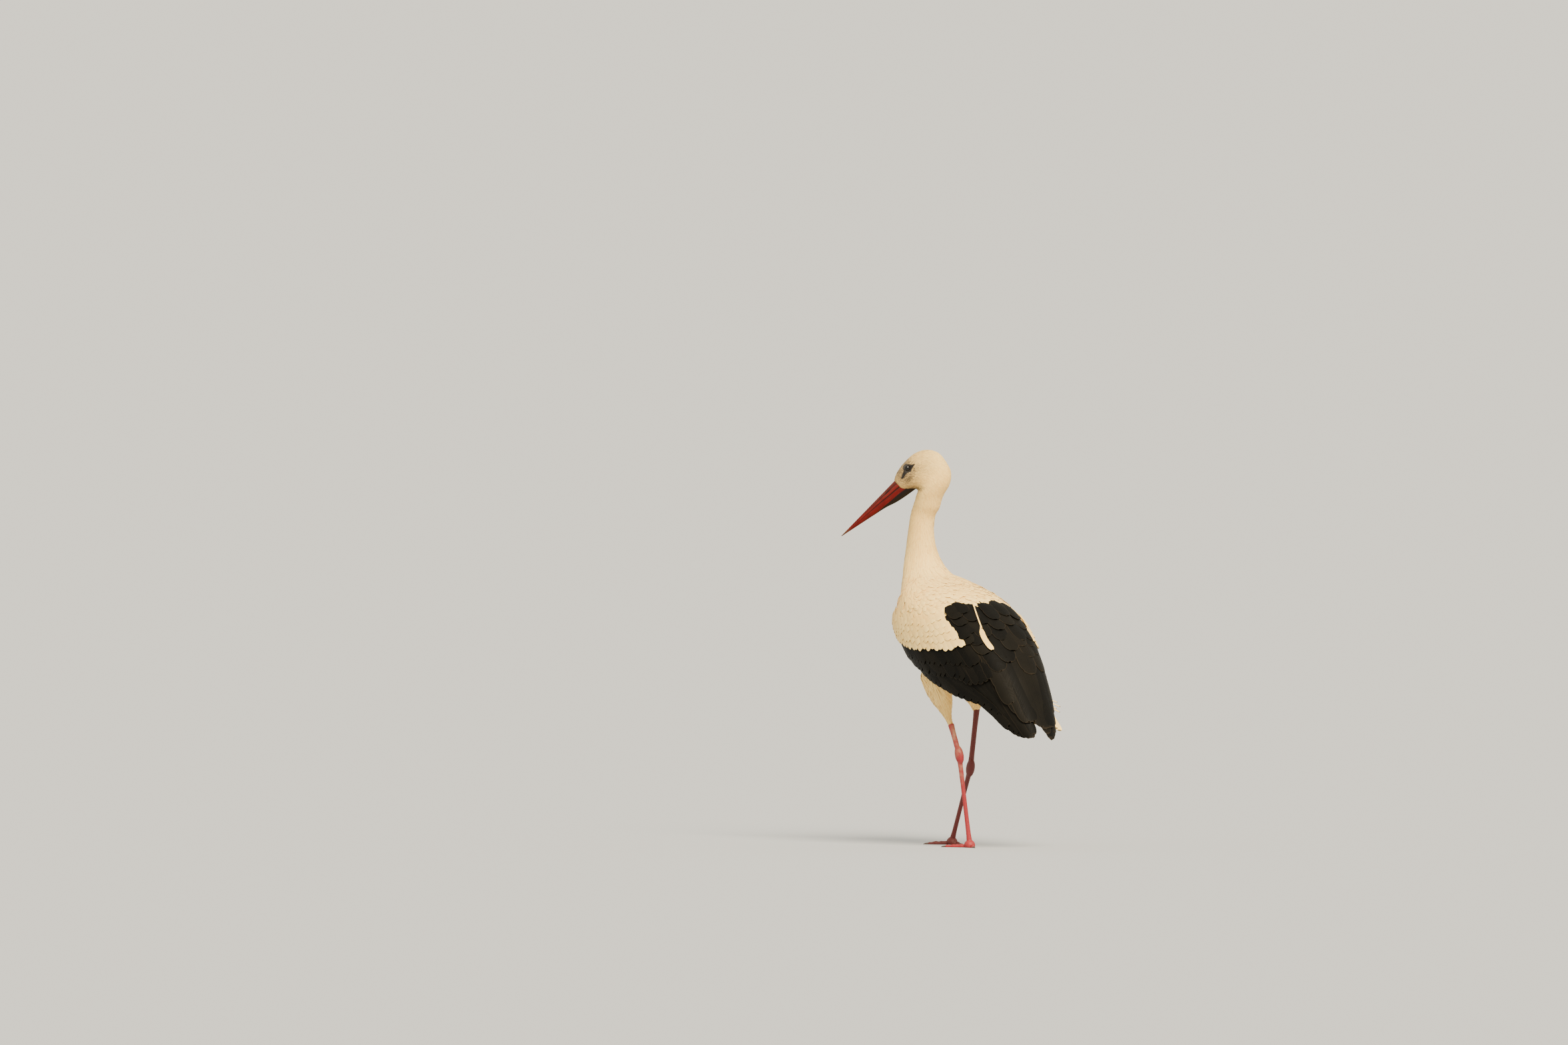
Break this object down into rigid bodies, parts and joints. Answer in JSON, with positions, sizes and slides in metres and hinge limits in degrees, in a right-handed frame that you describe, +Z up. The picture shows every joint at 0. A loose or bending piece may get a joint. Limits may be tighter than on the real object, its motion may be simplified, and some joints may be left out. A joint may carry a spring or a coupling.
{
  "type": "white stork, still life-size model",
  "caption": "Life-size still model of a white stork in mid-stride, wings folded, head turned to its left with the long bill pointing down.",
  "frame": {"origin": "middle of the bounding box's base, on the floor under the bird", "axes": "+Z up from the floor, -Y the way the bird walks, +X towards the bird's left"},
  "size_m": [0.3128, 0.588, 0.9446],
  "materials": {
    "white_plumage": "warm cream-white body feathers, matt",
    "black_plumage": "slate-black flight feathers with a low sheen",
    "bill": "deep red horn, satin, darker at the tip and under the gape",
    "eye": "wet, very dark brown",
    "leg_skin": "pinkish red scaly skin, dusty in places",
    "claw": "dull dark brown horn"
  },
  "bodies": {
    "root": {"neck_lower": "white_plumage", "neck_middle": "white_plumage", "neck_upper": "white_plumage", "head": "white_plumage", "trunk": "white_plumage", "eye_left": "eye", "eye_right": "eye", "bill_upper": "bill", "bill_lower": "bill", "wing_left_scapulars": "black_plumage", "wing_left_tertials": "black_plumage", "wing_left_coverts": "white_plumage", "wing_left_greater_coverts": "black_plumage", "wing_left_secondaries": "black_plumage", "wing_left_primaries": "black_plumage", "wing_right_scapulars": "black_plumage", "wing_right_tertials": "black_plumage", "wing_right_coverts": "white_plumage", "wing_right_greater_coverts": "black_plumage", "wing_right_secondaries": "black_plumage", "wing_right_primaries": "black_plumage", "tail": "white_plumage", "thigh_left": "white_plumage", "shin_left": "leg_skin", "ankle_left": "leg_skin", "tarsus_left": "leg_skin", "foot_left": "leg_skin", "toe_left_inner": "leg_skin", "claw_left_inner": "claw", "toe_left_middle": "leg_skin", "claw_left_middle": "claw", "toe_left_outer": "leg_skin", "claw_left_outer": "claw", "toe_left_hind": "leg_skin", "claw_left_hind": "claw", "thigh_right": "white_plumage", "shin_right": "leg_skin", "ankle_right": "leg_skin", "tarsus_right": "leg_skin", "foot_right": "leg_skin", "toe_right_inner": "leg_skin", "claw_right_inner": "claw", "toe_right_middle": "leg_skin", "claw_right_middle": "claw", "toe_right_outer": "leg_skin", "claw_right_outer": "claw", "toe_right_hind": "leg_skin", "claw_right_hind": "claw"}
  },
  "joints": []
}
